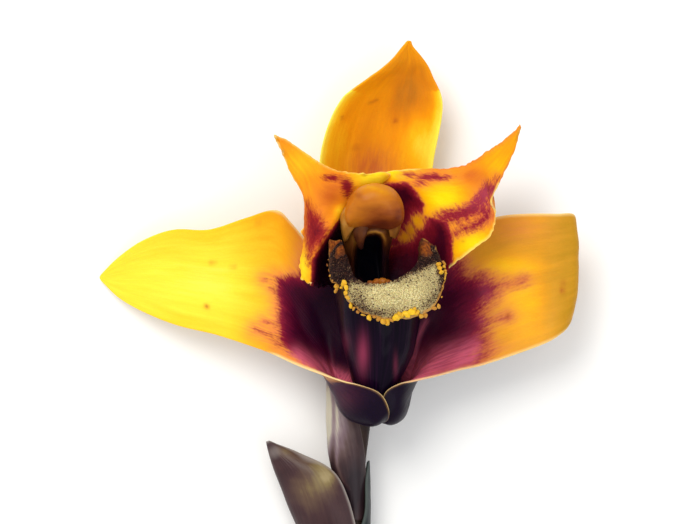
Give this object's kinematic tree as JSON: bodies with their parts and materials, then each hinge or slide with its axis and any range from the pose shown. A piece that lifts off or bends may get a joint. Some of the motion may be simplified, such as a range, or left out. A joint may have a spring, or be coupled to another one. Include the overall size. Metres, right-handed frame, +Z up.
{
  "type": "cut orchid flower",
  "caption": "Cut maxillaria orchid flower lying on its back: yellow sepals, streaked petals, dark chin, cupped fuzzy lip, capped column and a sheathed stalk.",
  "frame": {"origin": "on the surface that the flower lies on, under the middle of its outline", "axes": "+Z up from the surface, out of the flower's face; +Y from the cut stalk towards the upright sepal; +X to the right as the face is seen"},
  "size_m": [0.1012, 0.1326, 0.0363],
  "materials": {
    "dorsal_sepal": "satin",
    "lateral_sepal_left": "satin",
    "lateral_sepal_right": "satin",
    "petal_left": "satin",
    "petal_right": "satin",
    "lip": "matte",
    "column": "satin",
    "anther_cap": "satin",
    "ovary": "satin",
    "floral_bract": "satin",
    "scape": "matte",
    "scape_sheath_upper": "satin",
    "scape_sheath_lower": "satin"
  },
  "bodies": {
    "root": {"dorsal_sepal": "dorsal_sepal", "lateral_sepal_left": "lateral_sepal_left", "lateral_sepal_right": "lateral_sepal_right", "petal_left": "petal_left", "petal_right": "petal_right", "lip": "lip", "column": "column", "anther_cap": "anther_cap", "ovary": "ovary", "floral_bract": "floral_bract", "scape": "scape", "scape_sheath_upper": "scape_sheath_upper", "scape_sheath_lower": "scape_sheath_lower"}
  },
  "joints": []
}
